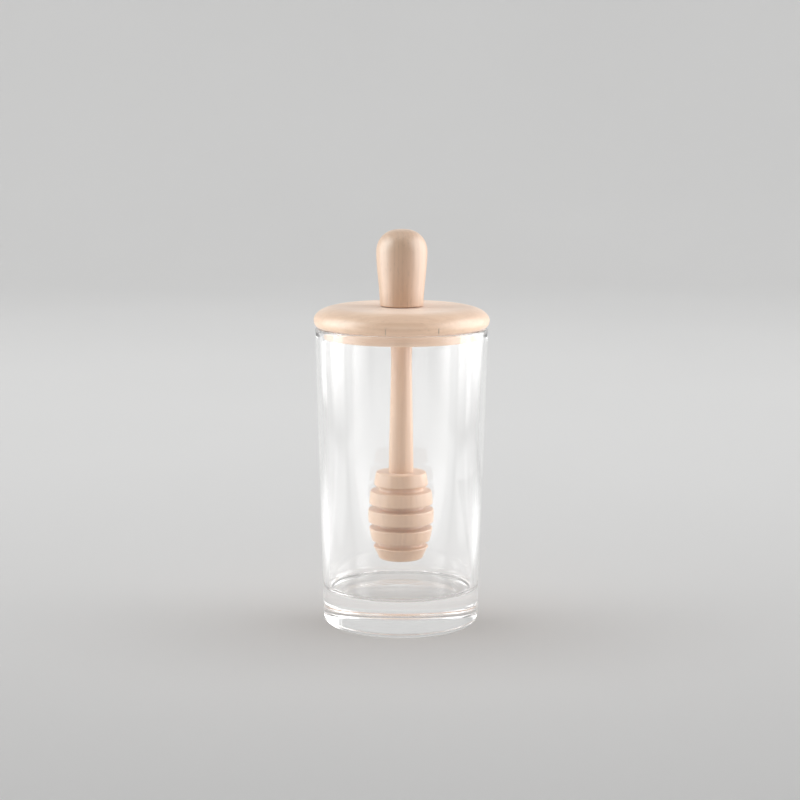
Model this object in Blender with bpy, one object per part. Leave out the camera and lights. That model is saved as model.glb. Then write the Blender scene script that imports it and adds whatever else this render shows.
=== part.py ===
"""Cylindrical glass honey jar with a turned wooden lid, a knob and a honey dipper.

Metres, +Z up. The origin is the centre of the jar's base on the surface it stands on, and the
jar's axis is the Z axis. Four pieces, all turned about that axis: the glass jar, the lid with
its plug, the knob on the lid, and the dipper, whose spigot passes up through the lid into the knob.
"""

import math

import bpy

# Clearance between one piece and the next.
GAP = 0.0003

# Glass jar: outer radii at the rim and, with the side carried straight down, at the base.
JAR_HEIGHT = 0.1357
JAR_RIM_RADIUS = 0.0389
JAR_BASE_RADIUS = 0.0352
JAR_WALL = 0.0028
JAR_FLOOR = 0.0163
JAR_HEEL_RADIUS = 0.0036
JAR_FLOOR_FILLET = 0.0030
JAR_FOOT_WIDTH = 0.0050
JAR_PUNT_DEPTH = 0.0004
JAR_SEGMENTS = 72
RIM_STEPS = 6
HEEL_STEPS = 6
PUNT_STEPS = 4
FILLET_STEPS = 5

# Lid: a disc with a long soft shoulder, and a plug that drops into the jar's mouth.
LID_RADIUS = 0.0396
LID_THICKNESS = 0.0090
LID_SHOULDER_WIDTH = 0.0114
LID_SHOULDER_HEIGHT = 0.0060
LID_LIP_INSET = 0.0019
LID_PLUG_RADIUS = 0.0354
LID_PLUG_DEPTH = 0.0050
LID_PLUG_EASE = 0.0008
LID_SEGMENTS = 64
SHOULDER_STEPS = 9
LIP_STEPS = 4
EASE_STEPS = 2

# Knob: narrow at the lid, widest two thirds of the way up, with a full round top.
KNOB_HEIGHT = 0.0348
KNOB_BASE_RADIUS = 0.0098
KNOB_WIDEST_RADIUS = 0.0115
KNOB_WIDEST_HEIGHT = 0.0247
KNOB_DOME_FULLNESS = 0.82
KNOB_BASE_EASE = 0.0004
KNOB_SEGMENTS = 40
DOME_STEPS = 8
SIDE_STEPS = 6

# Dipper: spigot, waisted shaft and a barrel-shaped head cut into rings.
SPIGOT_RADIUS = 0.0040
SPIGOT_IN_KNOB = 0.0150
SHAFT_TOP_RADIUS = 0.0050
SHAFT_WAIST_RADIUS = 0.00465
SHAFT_WAIST_Z = 0.1190
SHAFT_FOOT_RADIUS = 0.00565
HEAD_TOP_Z = 0.0696
HEAD_BARREL_RADIUS = 0.01495
HEAD_BARREL_CENTRE_Z = 0.0505
HEAD_BARREL_CURVE = 0.0442
HEAD_CORE_RADIUS = 0.0100
# How far the side of the top ring and of the bottom one follows the barrel's slope.
RING_SLOPE_TOP = 0.40
RING_SLOPE_BOTTOM = 1.10
RING_COUNT = 5
RING_THICKNESS = 0.0061
GROOVE_WIDTH = 0.0024
RING_EASE = 0.0005
HEAD_FOOT_EASE = 0.0016
DIPPER_SEGMENTS = 36
NECK_STEPS = 3
SHAFT_STEPS = 6

# Where the pieces meet, worked out from the sizes above.
LID_BASE_Z = JAR_HEIGHT + GAP
LID_TOP_Z = LID_BASE_Z + LID_THICKNESS
PLUG_BASE_Z = LID_BASE_Z - LID_PLUG_DEPTH
KNOB_BASE_Z = LID_TOP_Z + GAP
KNOB_TOP_Z = LID_TOP_Z + KNOB_HEIGHT
SPIGOT_HOLE_RADIUS = SPIGOT_RADIUS + GAP
SPIGOT_TOP_Z = KNOB_BASE_Z + SPIGOT_IN_KNOB
SHAFT_TOP_Z = PLUG_BASE_Z - GAP


def clear_scene():
    """Remove every object that the scene holds."""
    for item in list(bpy.data.objects):
        bpy.data.objects.remove(item, do_unlink=True)


def arc(centre, radii, start, end, steps):
    """Points (radius, height) along an ellipse, from start to end degrees, both ends included."""
    points = []
    for step in range(steps + 1):
        angle = math.radians(start + (end - start) * step / steps)
        points.append((centre[0] + radii[0] * math.cos(angle), centre[1] + radii[1] * math.sin(angle)))
    return points


def smooth_between(low, high, share):
    """A value that leaves low and reaches high gently, for a share from 0 to 1."""
    eased = share * share * (3 - 2 * share)
    return low + (high - low) * eased


def wood(name, colour):
    """Bare beech: pale, matt and not metallic."""
    return finish(name, colour, roughness=0.62)


def finish(name, colour, roughness, transmission=0.0):
    """A plain Principled material."""
    material = bpy.data.materials.new(name)
    material.use_nodes = True
    shader = material.node_tree.nodes["Principled BSDF"]
    shader.inputs["Base Color"].default_value = (*colour, 1.0)
    shader.inputs["Roughness"].default_value = roughness
    shader.inputs["Metallic"].default_value = 0.0
    shader.inputs["Transmission Weight"].default_value = transmission
    shader.inputs["IOR"].default_value = 1.5
    return material


def turned(name, outline, segments, material, closed=False):
    """Turn an outline of (radius, height) points, which runs down its outer side, about the Z axis."""
    count = len(outline)
    edges = [(index, index + 1) for index in range(count - 1)]
    if closed:
        edges.append((count - 1, 0))
    mesh = bpy.data.meshes.new(name)
    mesh.from_pydata([(radius, 0.0, height) for radius, height in outline], edges, [])
    mesh.materials.append(material)
    piece = bpy.data.objects.new(name, mesh)
    bpy.context.scene.collection.objects.link(piece)
    screw = piece.modifiers.new("Turn", "SCREW")
    screw.axis = "Z"
    screw.steps = segments
    screw.render_steps = segments
    screw.use_merge_vertices = True
    screw.merge_threshold = 0.00001
    screw.use_smooth_shade = True
    return piece


def jar_radius(height):
    """Outer radius of the jar's straight, slightly tapered side."""
    return JAR_BASE_RADIUS + (JAR_RIM_RADIUS - JAR_BASE_RADIUS) * height / JAR_HEIGHT


def make_jar():
    """The glass: rounded rim, tapered wall, thick base, filleted floor, and a foot ring round a punt."""
    half_wall = JAR_WALL / 2
    rim_centre = (JAR_RIM_RADIUS - half_wall, JAR_HEIGHT - half_wall)
    heel_centre = (jar_radius(JAR_HEEL_RADIUS) - JAR_HEEL_RADIUS, JAR_HEEL_RADIUS)
    fillet_z = JAR_FLOOR + JAR_FLOOR_FILLET
    fillet_centre = (jar_radius(fillet_z) - JAR_WALL - JAR_FLOOR_FILLET, fillet_z)
    foot_inner = heel_centre[0] - JAR_FOOT_WIDTH
    outline = arc(rim_centre, (half_wall, half_wall), 180, 0, RIM_STEPS)
    outline += arc(heel_centre, (JAR_HEEL_RADIUS, JAR_HEEL_RADIUS), 0, -90, HEEL_STEPS)
    for step in range(PUNT_STEPS + 1):
        share = step / PUNT_STEPS
        outline.append((foot_inner * (1 - share), smooth_between(0.0, JAR_PUNT_DEPTH, share)))
    outline.append((0.0, JAR_FLOOR))
    outline += arc(fillet_centre, (JAR_FLOOR_FILLET, JAR_FLOOR_FILLET), -90, 0, FILLET_STEPS)
    glass = finish("clear_glass", (0.93, 0.95, 0.95), roughness=0.02, transmission=1.0)
    return turned("glass_jar", outline, JAR_SEGMENTS, glass, closed=True)


def make_lid():
    """The wooden disc and its plug, with a hole for the dipper's spigot."""
    shoulder_centre = (LID_RADIUS - LID_SHOULDER_WIDTH, LID_TOP_Z - LID_SHOULDER_HEIGHT)
    lip_height = LID_THICKNESS - LID_SHOULDER_HEIGHT
    lip_centre = (LID_RADIUS - LID_LIP_INSET, LID_BASE_Z + lip_height)
    ease_centre = (LID_PLUG_RADIUS - LID_PLUG_EASE, PLUG_BASE_Z + LID_PLUG_EASE)
    outline = [(SPIGOT_HOLE_RADIUS, LID_TOP_Z)]
    outline += arc(shoulder_centre, (LID_SHOULDER_WIDTH, LID_SHOULDER_HEIGHT), 90, 0, SHOULDER_STEPS)
    outline += arc(lip_centre, (LID_LIP_INSET, lip_height), 0, -90, LIP_STEPS)[1:]
    outline.append((LID_PLUG_RADIUS, LID_BASE_Z))
    outline += arc(ease_centre, (LID_PLUG_EASE, LID_PLUG_EASE), 0, -90, EASE_STEPS)
    outline.append((SPIGOT_HOLE_RADIUS, PLUG_BASE_Z))
    return turned("wood_lid", outline, LID_SEGMENTS, wood("lid_wood", (0.72, 0.50, 0.36)), closed=True)


def knob_radius(height):
    """Radius of the knob at a height above the lid."""
    if height <= KNOB_WIDEST_HEIGHT:
        return smooth_between(KNOB_BASE_RADIUS, KNOB_WIDEST_RADIUS, height / KNOB_WIDEST_HEIGHT)
    share = (height - KNOB_WIDEST_HEIGHT) / (KNOB_HEIGHT - KNOB_WIDEST_HEIGHT)
    return KNOB_WIDEST_RADIUS * max(0.0, 1 - share * share) ** (KNOB_DOME_FULLNESS / 2)


def make_knob():
    """The knob, with a blind socket underneath for the spigot."""
    dome_height = KNOB_HEIGHT - KNOB_WIDEST_HEIGHT
    outline = [(0.0, KNOB_TOP_Z)]
    for step in range(1, DOME_STEPS + 1):
        height = KNOB_WIDEST_HEIGHT + dome_height * math.cos(math.pi / 2 * step / DOME_STEPS)
        outline.append((knob_radius(height), LID_TOP_Z + height))
    for step in range(1, SIDE_STEPS):
        height = KNOB_WIDEST_HEIGHT * (1 - step / SIDE_STEPS)
        outline.append((knob_radius(height), LID_TOP_Z + height))
    outline.append((KNOB_BASE_RADIUS, KNOB_BASE_Z + KNOB_BASE_EASE))
    outline.append((KNOB_BASE_RADIUS - KNOB_BASE_EASE, KNOB_BASE_Z))
    outline.append((SPIGOT_HOLE_RADIUS, KNOB_BASE_Z))
    outline.append((SPIGOT_HOLE_RADIUS, SPIGOT_TOP_Z + GAP))
    outline.append((0.0, SPIGOT_TOP_Z + GAP))
    return turned("lid_knob", outline, KNOB_SEGMENTS, wood("knob_wood", (0.70, 0.47, 0.33)))


def barrel_radius(height):
    """Radius of the head before its grooves are cut: one long arc in profile."""
    rise = height - HEAD_BARREL_CENTRE_Z
    return HEAD_BARREL_RADIUS - HEAD_BARREL_CURVE + math.sqrt(HEAD_BARREL_CURVE**2 - rise * rise)


def ring_outline(number, top, bottom, foot_ease):
    """One ring of the head, from its upper corner to its lower one, with the corners eased."""
    slope = RING_SLOPE_TOP + (RING_SLOPE_BOTTOM - RING_SLOPE_TOP) * number / (RING_COUNT - 1)
    middle = barrel_radius((top + bottom) / 2)
    upper = middle + slope * (barrel_radius(top - RING_EASE) - middle)
    lower = middle + slope * (barrel_radius(bottom + foot_ease) - middle)
    outline = [(upper - RING_EASE, top), (upper, top - RING_EASE)]
    outline.append((middle, (top + bottom) / 2))
    outline += arc((lower - foot_ease, bottom + foot_ease), (foot_ease, foot_ease), 0, -90, 2)
    return outline


def shaft_outline():
    """The shaft from under the lid down to the head: slightly flared, waisted, then thicker."""
    outline = []
    for step in range(NECK_STEPS):
        share = step / NECK_STEPS
        height = SHAFT_TOP_Z + (SHAFT_WAIST_Z - SHAFT_TOP_Z) * share
        outline.append((smooth_between(SHAFT_TOP_RADIUS, SHAFT_WAIST_RADIUS, share), height))
    for step in range(SHAFT_STEPS + 1):
        share = step / SHAFT_STEPS
        height = SHAFT_WAIST_Z + (HEAD_TOP_Z - SHAFT_WAIST_Z) * share
        outline.append((SHAFT_WAIST_RADIUS + (SHAFT_FOOT_RADIUS - SHAFT_WAIST_RADIUS) * share, height))
    return outline


def make_dipper():
    """Spigot, shaft and grooved head in one turned piece."""
    outline = [(0.0, SPIGOT_TOP_Z), (SPIGOT_RADIUS, SPIGOT_TOP_Z), (SPIGOT_RADIUS, SHAFT_TOP_Z)]
    outline += shaft_outline()
    # From the top of one ring to the top of the next.
    pitch = RING_THICKNESS + GROOVE_WIDTH
    for ring in range(RING_COUNT):
        top = HEAD_TOP_Z - ring * pitch
        last = ring == RING_COUNT - 1
        outline += ring_outline(ring, top, top - RING_THICKNESS, HEAD_FOOT_EASE if last else RING_EASE)
        if not last:
            outline.append((HEAD_CORE_RADIUS, top - RING_THICKNESS))
            outline.append((HEAD_CORE_RADIUS, top - pitch))
    outline.append((0.0, outline[-1][1]))
    return turned("honey_dipper", outline, DIPPER_SEGMENTS, wood("dipper_wood", (0.68, 0.47, 0.34)))


def main():
    clear_scene()
    stand = bpy.data.objects.new("jar_axis", None)
    bpy.context.scene.collection.objects.link(stand)
    for piece in (make_jar(), make_lid(), make_knob(), make_dipper()):
        piece.parent = stand


main()
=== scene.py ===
"""Studio picture of an empty glass honey jar with a turned beech lid, knob and dipper."""

import math

import bmesh
import bpy
from mathutils import Matrix, Vector


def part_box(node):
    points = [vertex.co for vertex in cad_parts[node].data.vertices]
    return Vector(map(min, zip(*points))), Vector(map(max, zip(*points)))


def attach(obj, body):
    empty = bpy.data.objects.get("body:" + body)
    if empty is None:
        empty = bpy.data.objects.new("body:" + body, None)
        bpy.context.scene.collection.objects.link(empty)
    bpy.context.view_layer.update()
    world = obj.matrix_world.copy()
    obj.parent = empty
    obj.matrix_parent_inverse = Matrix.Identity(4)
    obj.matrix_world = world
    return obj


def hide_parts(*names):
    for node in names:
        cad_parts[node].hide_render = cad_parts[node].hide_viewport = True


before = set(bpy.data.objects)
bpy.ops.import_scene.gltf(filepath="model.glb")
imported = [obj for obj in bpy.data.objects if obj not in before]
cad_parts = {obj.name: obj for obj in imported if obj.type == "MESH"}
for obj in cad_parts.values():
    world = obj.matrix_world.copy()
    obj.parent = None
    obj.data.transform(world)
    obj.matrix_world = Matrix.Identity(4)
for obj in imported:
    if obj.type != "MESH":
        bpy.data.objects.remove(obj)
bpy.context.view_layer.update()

# Camera: where the photograph was taken from, and its lens
EYE = (-0.00060, -0.9236, 0.2440)
EYE_DOWN_DEGREES = 8.72
EYE_ROLL_DEGREES = 0.20
EYE_LENS_MM = 92.8
EYE_SENSOR_MM = 36.0
EYE_REACH = 20.0

# All pieces
GAP = 0.0003
EASE_STEPS = 5
MERGE_DISTANCE = 0.000002
SHARP_DEGREES = 50

# Glass
WALL = 0.0028
BASE_RADIUS = 0.0352
FLOOR_Z = 0.0163
FLOOR_FILLET = 0.0030
HEEL_RADIUS = 0.0036
FOOT_WIDTH = 0.0050
PUNT_DEPTH = 0.0004
GLASS_STEPS = 256
RIM_STEPS = 16
WALL_STEPS = 24
HEEL_STEPS = 14
PUNT_STEPS = 32
FLOOR_STEPS = 10
FILLET_STEPS = 16
GLASS_TINT = (0.990, 0.988, 0.986, 1)
GLASS_SHADE = (0.985, 0.982, 0.978, 1)
GLASS_IOR = 1.5
GLASS_HAZE = 0.015
GLASS_BOUNCES = 300

# Lid
LID_THICKNESS = 0.0090
SHOULDER_WIDTH = 0.0114
SHOULDER_HEIGHT = 0.0060
LIP_INSET = 0.0019
PLUG_RADIUS = 0.0354
PLUG_EASE = 0.0008
LID_STEPS = 192
LID_TOP_STEPS = 14
SHOULDER_STEPS = 28
LIP_STEPS = 12
LEDGE_STEPS = 3
PLUG_FACE_STEPS = 12

# Open pores on the lid's front edge: the x and darkness of each, then the depths, the heights above
# the lid's underside and the widths over which all of them fade
EDGE_PORES = ((-0.0070, 0.5), (0.0161, 0.8))
PORE_BACK = (-0.036, -0.035)
PORE_FOOT = (0.0, 0.0008)
PORE_HEAD = (0.0026, 0.0036)
PORE_SIDE = (0.00008, 0.00034)

# Knob
KNOB_BASE_RADIUS = 0.0098
KNOB_WIDEST_HEIGHT = 0.0247
KNOB_DOME_FULLNESS = 0.82
KNOB_EASE = 0.0005
DOME_STEPS = 32
KNOB_SIDE_STEPS = 24

# Dipper
SPIGOT_RADIUS = 0.0040
SPIGOT_IN_KNOB = 0.0150
SHAFT_TOP_RADIUS = 0.0050
SHAFT_WAIST_RADIUS = 0.00465
SHAFT_WAIST_Z = 0.1190
SHAFT_FOOT_RADIUS = 0.00565
HEAD_TOP_Z = 0.0696
BARREL_RADIUS = 0.01495
BARREL_CENTRE_Z = 0.0505
BARREL_CURVE = 0.0442
RING_SLANT = (0.40, 1.10)
CORE_RADIUS = 0.0100
RINGS = 5
RING_THICKNESS = 0.0061
GROOVE_WIDTH = 0.0024
GROOVE_HOLLOW = 0.0006
RING_EASE = 0.0006
FOOT_EASE = 0.0016
TURNED_STEPS = 128
SHAFT_TOP_STEPS = 12
SHAFT_FOOT_STEPS = 24
RING_STEPS = 8
GROOVE_STEPS = 6

# Beech: cells a metre of each pattern, and how many times longer it is along the grain
DRIFT_CELLS = 60.0
CLOUD_CELLS = 45.0
STREAK_CELLS = 520.0
FLECK_CELLS = 1500.0
FIBRE_CELLS = 2400.0
CLOUD_PULL = 14.0
FLECK_PULL = 7.0
FIBRE_PULL = 30.0
# Year rings a metre, and over how many of them they wander
YEAR_RINGS = 430.0
YEAR_DRIFT = 3.2
WOOD_GLOSS = {"Specular IOR Level": 1.0, "IOR": 1.65, "Sheen Weight": 0.35, "Sheen Roughness": 0.4}

# Each wood's light tone, dark tone and the middle of its year rings
LID_WOOD = ((0.82, 0.57, 0.40), (0.73, 0.47, 0.31), (0.0, 0.010, 0.055))
KNOB_WOOD = ((0.76, 0.51, 0.35), (0.66, 0.42, 0.28), (0.021, 0.013, 0.0))
DIPPER_WOOD = ((0.74, 0.48, 0.305), (0.645, 0.385, 0.235), (0.013, 0.024, 0.0))

# Stage
STAGE_RADIUS = 1.6
COVE_RADIUS = 0.8
STAGE_TOP = 2.2
STAGE_STEPS = 96
STAGE_FLOOR_STEPS = 8
COVE_STEPS = 20
STAGE_PAINT = ((0.745, 0.745, 0.742, 1), (0.775, 0.775, 0.772, 1))

# Lights for the glass: where their middle ends and the rest begins, from the jar's axis, how much
# brighter the middle is, as the glass mirrors it only once, and how far behind the rest it stands.
# Two lights in one plane would hide each other from a mirrored ray.
MIDDLE = (0.055, 0.085)
MIDDLE_GAIN = 2.0
MIDDLE_SETBACK = 0.002

# How far out the side panels stand, and how high the lights on the floor are
PANEL_X = 0.42
LAMP_Z = 0.003

# Side panels: name, side, y and z, width and height, radiance, and the shares of both that fade out
SIDE_PANELS = (
    ("left_glow", -1, (-0.01, 0.26), (0.62, 0.52), 4.2, (0.38, 0.25)),
    ("right_glow", 1, (0.09, 0.26), (0.94, 0.52), 4.6, (0.28, 0.25)),
    ("left_rim_glow", -1, (-0.06, 0.16), (0.56, 0.24), 6.4, (0.3, 0.2)),
    ("right_rim_glow", 1, (0.15, 0.16), (0.92, 0.24), 6.4, (0.28, 0.2)),
)

# The room's own faint light
AIR_COLOUR = (1.0, 0.99, 0.98, 1)
AIR_STRENGTH = 0.12

# No stretch and no tint
EVEN = (1.0, 1.0, 1.0)

jar_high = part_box("glass_jar")[1]
lid_low, lid_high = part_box("wood_lid")
knob_low, knob_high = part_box("lid_knob")
dipper_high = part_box("honey_dipper")[1]
RIM_Z = jar_high.z
RIM_RADIUS = jar_high.x
LID_BASE_Z = lid_high.z - LID_THICKNESS
DOME_HEIGHT = knob_high.z - lid_high.z - KNOB_WIDEST_HEIGHT


class Wire:
    """A socket's value, on which Python's operators add Math nodes."""

    def __init__(self, nodes, socket):
        self.nodes = nodes
        self.socket = socket

    def sum(self, operation, *values):
        return self.nodes.node("ShaderNodeMath", {"operation": operation}, dict(enumerate(values)))

    def __add__(self, other):
        return self.sum("ADD", self, other)

    __radd__ = __add__

    def __sub__(self, other):
        return self.sum("SUBTRACT", self, other)

    def __rsub__(self, other):
        return self.sum("SUBTRACT", other, self)

    def __mul__(self, other):
        return self.sum("MULTIPLY", self, other)

    __rmul__ = __mul__

    def size(self):
        """The value without its sign."""
        return self.sum("ABSOLUTE", self)

    def fraction(self):
        return self.sum("FRACT", self)

    def over(self, low, high):
        """0 up to low and 1 from high on, with a soft rise between them."""
        settings = {"interpolation_type": "SMOOTHSTEP"}
        return self.nodes.node("ShaderNodeMapRange", settings, {0: self, 1: low, 2: high})


class Nodes:
    """A node tree, with the one method that makes its nodes."""

    def __init__(self, tree):
        self.tree = tree

    def put(self, socket, value):
        """Link a wire to a socket, or set the socket's own value."""
        if isinstance(value, Wire):
            self.tree.links.new(value.socket, socket)
        else:
            socket.default_value = value

    def node(self, kind, settings=None, inputs=None, output=0):
        made = self.tree.nodes.new(kind)
        for name, value in (settings or {}).items():
            setattr(made, name, value)
        for name, value in (inputs or {}).items():
            self.put(made.inputs[name], value)
        return Wire(self, made.outputs[output])

    def part(self, vector, axis):
        """One number of a vector: 0 for x, 1 for y, 2 for z."""
        return self.node("ShaderNodeSeparateXYZ", None, {0: vector}, output=axis)


class Finish(Nodes):
    """A new material with a Principled shader."""

    def __init__(self, name):
        self.material = bpy.data.materials.new(name)
        self.material.use_nodes = True
        super().__init__(self.material.node_tree)
        self.shader = self.tree.nodes["Principled BSDF"]
        self.place = self.node("ShaderNodeTexCoord", output="Object")

    def feed(self, values):
        """Give the shader its values, by the names of its sockets."""
        for name, value in values.items():
            self.put(self.shader.inputs[name], value)

    def mix(self, share, first, second):
        """A colour between two colours."""
        return self.node("ShaderNodeMix", {"data_type": "RGBA"}, {0: share, 6: first, 7: second}, output=2)

    def fibres(self, cells, stretch, detail=3.0, roughness=0.55):
        """Noise with this many cells a metre, drawn out along x, y and z as stretch says."""
        across = tuple(cells / pull for pull in stretch)
        drawn = self.node("ShaderNodeMapping", None, {"Vector": self.place, "Scale": across})
        inputs = {"Vector": drawn, "Scale": 1.0, "Detail": detail, "Roughness": roughness}
        return self.node("ShaderNodeTexNoise", None, inputs)


def along_grain(grain, pull):
    """A factor for each axis: pull on the grain's own, and 1 on the others."""
    return tuple(pull if axis == grain else 1.0 for axis in "xyz")


def shade(colour, share=1.0):
    """A colour made lighter or darker, as a socket takes it."""
    return (*(min(1, channel * share) for channel in colour), 1)


def edge_pores(finish):
    """Where the few open pores on the lid's front edge are: short upright lines."""
    across, depth, height = (finish.part(finish.place, axis) for axis in range(3))
    above = height - LID_BASE_Z
    front = 1 - depth.over(*PORE_BACK)
    upright = above.over(*PORE_FOOT) * (1 - above.over(*PORE_HEAD))
    pores = 0.0
    for centre, darkness in EDGE_PORES:
        pores = pores + (1 - (across - centre).size().over(*PORE_SIDE)) * darkness
    return pores * front * upright


def beech(name, grain, light, dark, heart, pores=None):
    """Bare sanded beech. grain is the axis the fibres run along, and heart the middle of its rings."""
    finish = Finish(name)
    drift = finish.fibres(DRIFT_CELLS, along_grain(grain, CLOUD_PULL), detail=2.0)
    flat = {"Vector": finish.place, "Location": heart, "Scale": along_grain(grain, 0.0)}
    spread = finish.node("ShaderNodeMapping", None, flat)
    years = finish.node("ShaderNodeVectorMath", {"operation": "LENGTH"}, {0: spread}, output=1)
    band = (years * YEAR_RINGS + drift * YEAR_DRIFT).fraction()
    late = band.over(0.35, 0.95) * (1 - band.over(0.95, 1.0))

    fine = finish.fibres(FIBRE_CELLS, along_grain(grain, FIBRE_PULL))
    streak = finish.fibres(STREAK_CELLS, along_grain(grain, FIBRE_PULL), roughness=0.6)
    fleck = finish.fibres(FLECK_CELLS, along_grain(grain, FLECK_PULL)).over(0.60, 0.68)
    cloud = finish.fibres(CLOUD_CELLS, along_grain(grain, CLOUD_PULL), detail=1.0)

    wood = finish.mix(streak.over(0.30, 0.72) * 0.55 + cloud.over(0.3, 0.7) * 0.45, shade(light), shade(dark))
    wood = finish.mix(late * 0.20, wood, shade(dark, 0.80))
    wood = finish.mix(fleck * 0.26, wood, shade(dark, 0.62))
    wood = finish.mix(fine.over(0.25, 0.75) * 0.16, wood, shade(light, 1.12))
    if pores:
        wood = finish.mix(pores(finish), wood, shade(dark, 0.30))
    relief = fine * 0.6 + streak * 0.8 - fleck * 0.7
    bump = finish.node("ShaderNodeBump", None, {"Strength": 0.35, "Distance": 0.00006, "Height": relief})
    finish.feed({"Base Color": wood, "Roughness": 0.36 + streak * 0.14 + fleck * 0.08, "Normal": bump})
    finish.feed(WOOD_GLOSS)
    return finish.material


def clear_glass():
    """Clear soda glass that lets light through to what stands in it."""
    finish = Finish("clear_glass")
    haze = finish.fibres(55.0, EVEN, detail=2.0).over(0.35, 0.8) * GLASS_HAZE
    finish.feed({"Roughness": haze, "Base Color": GLASS_TINT, "Transmission Weight": 1.0, "IOR": GLASS_IOR})
    shown = Wire(finish, finish.shader.outputs[0])
    for ray in ("Is Shadow Ray", "Is Diffuse Ray"):
        path = finish.node("ShaderNodeLightPath", output=ray)
        open_way = finish.node("ShaderNodeBsdfTransparent", None, {"Color": GLASS_SHADE})
        shown = finish.node("ShaderNodeMixShader", None, {0: path, 1: shown, 2: open_way})
    finish.put(finish.tree.nodes["Material Output"].inputs["Surface"], shown)
    return finish.material


def stage_paint():
    """Matt, barely mottled studio paint."""
    finish = Finish("stage_paint")
    mottle = finish.fibres(3.0, EVEN, detail=1.0)
    finish.feed({"Base Color": finish.mix(mottle, *STAGE_PAINT), "Roughness": 0.9, "Specular IOR Level": 0.1})
    return finish.material


def arc(centre, radii, start, end, steps):
    """Points (radius, height) on an ellipse, from start to end degrees, both ends included."""
    points = []
    for step in range(steps + 1):
        angle = math.radians(start + (end - start) * step / steps)
        points.append((centre[0] + radii[0] * math.cos(angle), centre[1] + radii[1] * math.sin(angle)))
    return points


def line(start, end, steps):
    """Points strictly between start and end, evenly spaced."""
    ends = Vector(start), Vector(end)
    return [tuple(ends[0].lerp(ends[1], step / steps)) for step in range(1, steps)]


def eased(low, high, share):
    """A value between low and high that starts and ends level."""
    return low + (high - low) * share * share * (3 - 2 * share)


def turned(name, outline, steps, material, closed=False, inward=False):
    """Spin an outline of (radius, height) points about Z into one smooth piece."""
    shape = bmesh.new()
    corners = [shape.verts.new((radius, 0.0, height)) for radius, height in outline]
    pairs = list(zip(corners, corners[1:]))
    if closed:
        pairs.append((corners[-1], corners[0]))
    lines = [shape.edges.new(pair) for pair in pairs]
    bmesh.ops.spin(shape, geom=corners + lines, cent=(0, 0, 0), axis=(0, 0, 1), angle=2 * math.pi,
                   steps=steps, use_merge=True)
    bmesh.ops.remove_doubles(shape, verts=shape.verts, dist=MERGE_DISTANCE)
    bmesh.ops.recalc_face_normals(shape, faces=shape.faces)
    if inward:
        bmesh.ops.reverse_faces(shape, faces=shape.faces)
    for face in shape.faces:
        face.smooth = True
    mesh = bpy.data.meshes.new(name)
    shape.to_mesh(mesh)
    shape.free()
    mesh.materials.append(material)
    mesh.set_sharp_from_angle(angle=math.radians(SHARP_DEGREES))
    piece = bpy.data.objects.new(name, mesh)
    bpy.context.scene.collection.objects.link(piece)
    return piece


def glass_radius(height):
    """Outer radius of the jar's tapered side."""
    return BASE_RADIUS + (RIM_RADIUS - BASE_RADIUS) * height / RIM_Z


def make_glass():
    half = WALL / 2
    rim_centre = (RIM_RADIUS - half, RIM_Z - half)
    heel_centre = (glass_radius(HEEL_RADIUS) - HEEL_RADIUS, HEEL_RADIUS)
    fillet_z = FLOOR_Z + FLOOR_FILLET
    fillet_centre = (glass_radius(fillet_z) - WALL - FLOOR_FILLET, fillet_z)
    foot_inner = heel_centre[0] - FOOT_WIDTH
    outline = arc(rim_centre, (half, half), 180, 0, RIM_STEPS)
    outline += line(outline[-1], (glass_radius(HEEL_RADIUS), HEEL_RADIUS), WALL_STEPS)
    outline += arc(heel_centre, (HEEL_RADIUS, HEEL_RADIUS), 0, -90, HEEL_STEPS)
    for step in range(PUNT_STEPS + 1):
        share = step / PUNT_STEPS
        outline.append((foot_inner * (1 - share), eased(0.0, PUNT_DEPTH, share)))
    outline += [(0.0, FLOOR_Z)]
    outline += line((0.0, FLOOR_Z), (fillet_centre[0], FLOOR_Z), FLOOR_STEPS)
    outline += arc(fillet_centre, (FLOOR_FILLET, FLOOR_FILLET), -90, 0, FILLET_STEPS)
    outline += line(outline[-1], outline[0], WALL_STEPS)
    piece = turned("jar_glass", outline, GLASS_STEPS, clear_glass(), closed=True)
    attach(piece, "root")
    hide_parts("glass_jar")
    return piece


def make_lid():
    shoulder = (lid_high.x - SHOULDER_WIDTH, lid_high.z - SHOULDER_HEIGHT)
    lip_height = LID_THICKNESS - SHOULDER_HEIGHT
    lip = (lid_high.x - LIP_INSET, LID_BASE_Z + lip_height)
    ease = (PLUG_RADIUS - PLUG_EASE, lid_low.z + PLUG_EASE)
    hole = SPIGOT_RADIUS + GAP
    outline = [(hole, lid_high.z)]
    outline += line(outline[0], (shoulder[0], lid_high.z), LID_TOP_STEPS)
    outline += arc(shoulder, (SHOULDER_WIDTH, SHOULDER_HEIGHT), 90, 0, SHOULDER_STEPS)
    outline += arc(lip, (LIP_INSET, lip_height), 0, -90, LIP_STEPS)[1:]
    outline += line(outline[-1], (PLUG_RADIUS, LID_BASE_Z), LEDGE_STEPS)
    outline += [(PLUG_RADIUS, LID_BASE_Z)]
    outline += arc(ease, (PLUG_EASE, PLUG_EASE), 0, -90, EASE_STEPS)
    outline += line(outline[-1], (hole, lid_low.z), PLUG_FACE_STEPS)
    outline += [(hole, lid_low.z)]
    wood = beech("lid_beech", "x", *LID_WOOD, edge_pores)
    piece = turned("lid_disc", outline, LID_STEPS, wood, closed=True)
    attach(piece, "root")
    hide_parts("wood_lid")
    return piece


def knob_radius(height):
    """Radius of the knob at a height above the lid."""
    if height <= KNOB_WIDEST_HEIGHT:
        return eased(KNOB_BASE_RADIUS, knob_high.x, height / KNOB_WIDEST_HEIGHT)
    share = (height - KNOB_WIDEST_HEIGHT) / DOME_HEIGHT
    return knob_high.x * max(0.0, 1 - share * share) ** (KNOB_DOME_FULLNESS / 2)


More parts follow.
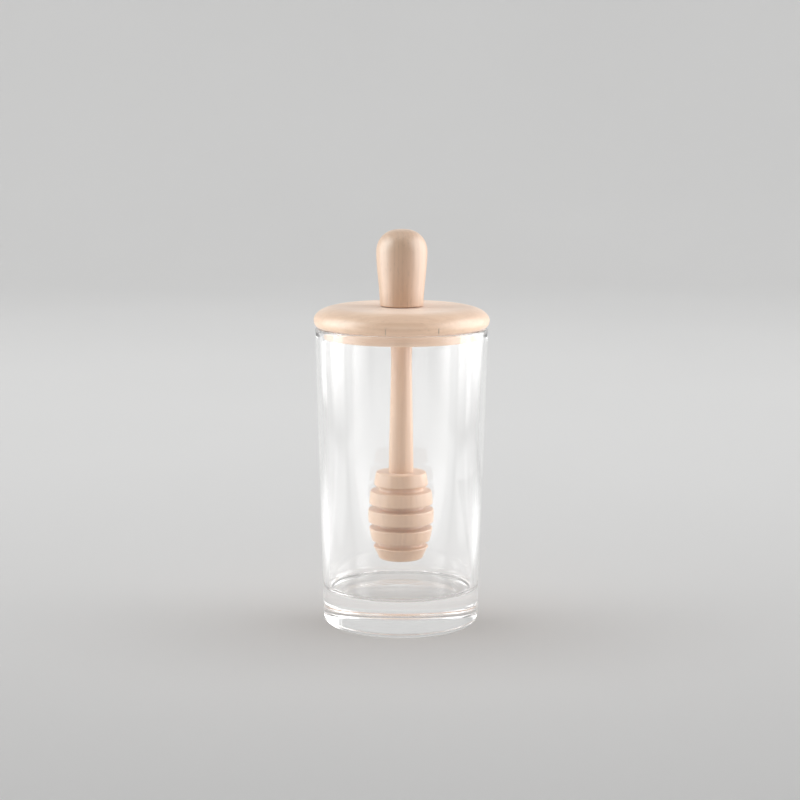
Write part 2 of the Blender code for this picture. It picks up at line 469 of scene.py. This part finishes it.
def make_knob():
    outline = [(0.0, knob_high.z)]
    for step in range(1, DOME_STEPS + 1):
        height = KNOB_WIDEST_HEIGHT + DOME_HEIGHT * math.cos(math.pi / 2 * step / DOME_STEPS)
        outline.append((knob_radius(height), lid_high.z + height))
    for step in range(1, KNOB_SIDE_STEPS):
        height = KNOB_WIDEST_HEIGHT * (1 - step / KNOB_SIDE_STEPS)
        outline.append((knob_radius(height), lid_high.z + height))
    ease = (KNOB_BASE_RADIUS - KNOB_EASE, knob_low.z + KNOB_EASE)
    outline += arc(ease, (KNOB_EASE, KNOB_EASE), 0, -90, EASE_STEPS)
    socket = SPIGOT_RADIUS + GAP
    socket_top = knob_low.z + SPIGOT_IN_KNOB + GAP
    outline += [(socket, knob_low.z), (socket, socket_top), (0.0, socket_top)]
    piece = turned("knob_turned", outline, TURNED_STEPS, beech("knob_beech", "z", *KNOB_WOOD))
    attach(piece, "root")
    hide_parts("lid_knob")
    return piece


def barrel_radius(height):
    """Radius of the head's whole barrel at a height."""
    rise = height - BARREL_CENTRE_Z
    return BARREL_RADIUS - BARREL_CURVE + math.sqrt(BARREL_CURVE**2 - rise * rise)


def ring_outline(number, top, bottom, foot_ease):
    """One ring of the head, from its upper face to its lower one. The upper rings are cut squarer."""
    slant = RING_SLANT[0] + (RING_SLANT[1] - RING_SLANT[0]) * number / (RINGS - 1)
    middle = (top + bottom) / 2

    def radius(height):
        return barrel_radius(middle) + slant * (barrel_radius(height) - barrel_radius(middle))

    outline = arc((radius(top) - RING_EASE, top - RING_EASE), (RING_EASE, RING_EASE), 90, 0, EASE_STEPS)
    for step in range(1, RING_STEPS):
        height = top - RING_EASE + (bottom + foot_ease - top + RING_EASE) * step / RING_STEPS
        outline.append((radius(height), height))
    foot = (radius(bottom + foot_ease) - foot_ease, bottom + foot_ease)
    return outline + arc(foot, (foot_ease, foot_ease), 0, -90, EASE_STEPS)


def make_dipper():
    shaft_top = lid_low.z - GAP
    spigot_top = dipper_high.z
    outline = [(0.0, spigot_top), (SPIGOT_RADIUS, spigot_top), (SPIGOT_RADIUS, shaft_top)]
    for step in range(SHAFT_TOP_STEPS):
        share = step / SHAFT_TOP_STEPS
        height = shaft_top + (SHAFT_WAIST_Z - shaft_top) * share
        outline.append((eased(SHAFT_TOP_RADIUS, SHAFT_WAIST_RADIUS, share), height))
    for step in range(SHAFT_FOOT_STEPS + 1):
        share = step / SHAFT_FOOT_STEPS
        radius = SHAFT_WAIST_RADIUS + (SHAFT_FOOT_RADIUS - SHAFT_WAIST_RADIUS) * share
        outline.append((radius, SHAFT_WAIST_Z + (HEAD_TOP_Z - SHAFT_WAIST_Z) * share))
    pitch = RING_THICKNESS + GROOVE_WIDTH
    for ring in range(RINGS):
        top = HEAD_TOP_Z - ring * pitch
        last = ring == RINGS - 1
        outline += ring_outline(ring, top, top - RING_THICKNESS, FOOT_EASE if last else RING_EASE)
        if not last:
            groove = (CORE_RADIUS + GROOVE_HOLLOW, top - RING_THICKNESS - GROOVE_WIDTH / 2)
            outline += arc(groove, (GROOVE_HOLLOW, GROOVE_WIDTH / 2), 90, 270, GROOVE_STEPS)
    outline += [(0.0, outline[-1][1])]
    piece = turned("dipper_turned", outline, TURNED_STEPS, beech("dipper_beech", "z", *DIPPER_WOOD))
    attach(piece, "root")
    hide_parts("honey_dipper")
    return piece


def make_stage():
    """A round cove: a pale floor that curves up into a pale wall on every side."""
    outline = [(0.0, 0.0)]
    outline += line((0, 0), (STAGE_RADIUS, 0.0), STAGE_FLOOR_STEPS)
    outline += arc((STAGE_RADIUS, COVE_RADIUS), (COVE_RADIUS, COVE_RADIUS), -90, 0, COVE_STEPS)
    outline += [(STAGE_RADIUS + COVE_RADIUS, STAGE_TOP)]
    stage = turned("studio_cove", outline, STAGE_STEPS, stage_paint(), inward=True)
    return stage


def soft_light(name, place, target, size, radiance, lit, tint=EVEN):
    """A softbox that faces target, hidden from the camera, and lights these things alone."""
    data = bpy.data.lights.new(name, "AREA")
    data.shape = "RECTANGLE"
    data.color = tint
    data.size, data.size_y = size
    data.energy = radiance * math.pi * size[0] * size[1]
    lamp = bpy.data.objects.new(name, data)
    bpy.context.scene.collection.objects.link(lamp)
    lamp.location = place
    lamp.rotation_euler = (Vector(target) - Vector(place)).to_track_quat("-Z", "Y").to_euler()
    lamp.visible_camera = False
    group = bpy.data.collections.new(name + "_lights")
    for thing in lit:
        group.objects.link(thing)
    lamp.light_linking.receiver_collection = group
    return lamp


def soften(lamp, fade, axis, middle):
    """Fade a softbox out over these shares of its width and height, and leave of it only the part
    near the jar's axis, measured along x (0) or y (1), or only the rest."""
    lamp.data.use_nodes = True
    nodes = Nodes(lamp.data.node_tree)
    spot = nodes.node("ShaderNodeNewGeometry", output="Parametric")
    strength = 1.0
    for side, share in enumerate(fade):
        along = nodes.part(spot, side)
        strength = strength * along.over(0.0, share) * (1 - along.over(1.0 - share, 1.0))
    place = nodes.node("ShaderNodeNewGeometry", output="Position")
    beside = nodes.part(place, axis).size().over(*MIDDLE)
    strength = strength * (1 - beside if middle else beside)
    nodes.put(nodes.tree.nodes["Emission"].inputs["Strength"], strength)


def glass_light(name, place, target, size, radiance, glass, fade, axis=1, gain=MIDDLE_GAIN):
    """A softbox for the glass. Its middle is only mirrored in it, and never shows through the jar."""
    soften(soft_light(name, place, target, size, radiance, glass), fade, axis, middle=False)
    behind = Vector(place) + (Vector(place) - Vector(target)).normalized() * MIDDLE_SETBACK
    mirrored = soft_light(name + "_middle", behind, target, size, radiance * gain, glass)
    mirrored.visible_transmission = False
    soften(mirrored, fade, axis, middle=True)


def light_glass(glass):
    """Panels on both sides, glowing floor beside and before the jar, and a faint light all round."""
    for name, side, (depth, height), size, radiance, fade in SIDE_PANELS:
        place = (PANEL_X * side, depth, height)
        glass_light(name, place, (0.0, depth, height), size, radiance, glass, fade)
    for side in (-1, 1):
        place = (PANEL_X * side, 0.12, 0.045)
        glass_light("low_glow", place, (0.0, *place[1:]), (0.80, 0.08), 2.0, glass, (0.35, 0.2))
        place = (0.26 * side, -0.04, LAMP_Z)
        glass_light("side_floor_glow", place, (*place[:2], 1.0), (0.40, 0.72), 0.74, glass, (0.2, 0.4))
    place = (0.0, -0.74, LAMP_Z)
    over = (*place[:2], 1.0)
    glass_light("apron_glow", place, over, (2.4, 1.40), 0.82, glass, (0.35, 0.08), axis=0, gain=1.0)
    soft_light("ceiling_glow", (0.0, 0.0, 2.6), (0.0, 0.0, 0.0), (6.0, 6.0), 0.80, glass)
    soft_light("front_glow", (0.0, -2.3, 1.2), (0.0, 0.0, 0.6), (4.0, 1.6), 0.65, glass)
    soft_light("floor_glow", (0.0, 0.2, LAMP_Z), (0.0, 0.2, 1.0), (1.4, 2.2), 0.09, glass)


def light_wood(wood):
    """Softboxes on both sides and above, light thrown back by the floor, and a fill for lid and dipper."""
    lid, dipper = wood[:1], wood[2:]
    floor = (0.0, 0.0, LAMP_Z)
    left, right = (-0.40, -0.01, 0.31), (0.40, 0.05, 0.31)
    soft_light("bounce", floor, (0.0, 0.0, 1.0), (1.2, 1.2), 0.25, wood)
    soft_light("lid_bounce", floor, (0.0, 0.0, 1.0), (1.2, 1.2), 1.2, lid)
    soft_light("lid_fill", (0.0, -1.1, 0.5), (0.0, 0.0, 0.14), (1.2, 0.5), 1.4, lid)
    soft_light("left_softbox", left, (0.0, -0.01, 0.24), (0.40, 0.60), 3.2, wood, tint=(0.93, 1.0, 1.02))
    soft_light("right_softbox", right, (0.0, 0.05, 0.24), (0.66, 0.60), 2.6, wood, tint=(0.97, 1.0, 1.01))
    soft_light("top_softbox", (0.0, 0.1, 1.1), (0.0, 0.0, 0.0), (0.7, 0.7), 0.8, wood)
    soft_light("dipper_fill", (0.0, -0.8, 0.35), (0.0, 0.0, 0.12), (0.9, 0.5), 0.48, dipper)


def make_air():
    """The faint light of the room, and how far light is followed."""
    world = bpy.data.worlds.new("studio_air")
    world.use_nodes = True
    air = world.node_tree.nodes["Background"]
    air.inputs["Color"].default_value = AIR_COLOUR
    air.inputs["Strength"].default_value = AIR_STRENGTH
    scene = bpy.context.scene
    scene.world = world
    scene.view_settings.view_transform = "Standard"
    # Light runs a long way inside the glass wall before it leaves.
    scene.cycles.max_bounces = GLASS_BOUNCES
    scene.cycles.transmission_bounces = GLASS_BOUNCES
    scene.cycles.glossy_bounces = GLASS_BOUNCES


def make_camera():
    data = bpy.data.cameras.new("eye")
    data.lens = EYE_LENS_MM
    data.sensor_width = EYE_SENSOR_MM
    data.clip_end = EYE_REACH
    camera = bpy.data.objects.new("eye", data)
    bpy.context.scene.collection.objects.link(camera)
    tilt = Matrix.Rotation(math.radians(90 - EYE_DOWN_DEGREES), 4, "X")
    roll = Matrix.Rotation(math.radians(EYE_ROLL_DEGREES), 4, "Z")
    camera.matrix_world = Matrix.Translation(EYE) @ tilt @ roll
    bpy.context.scene.camera = camera


make_camera()
glass = make_glass()
wood = [make_lid(), make_knob(), make_dipper()]
stage = make_stage()
light_glass([glass])
light_wood(wood)
soft_light("stage_light", (0.0, 0.4, 1.7), (0.0, 1.4, 0.1), (3.2, 1.6), 2.15, [stage])
make_air()

bpy.context.view_layer.update()
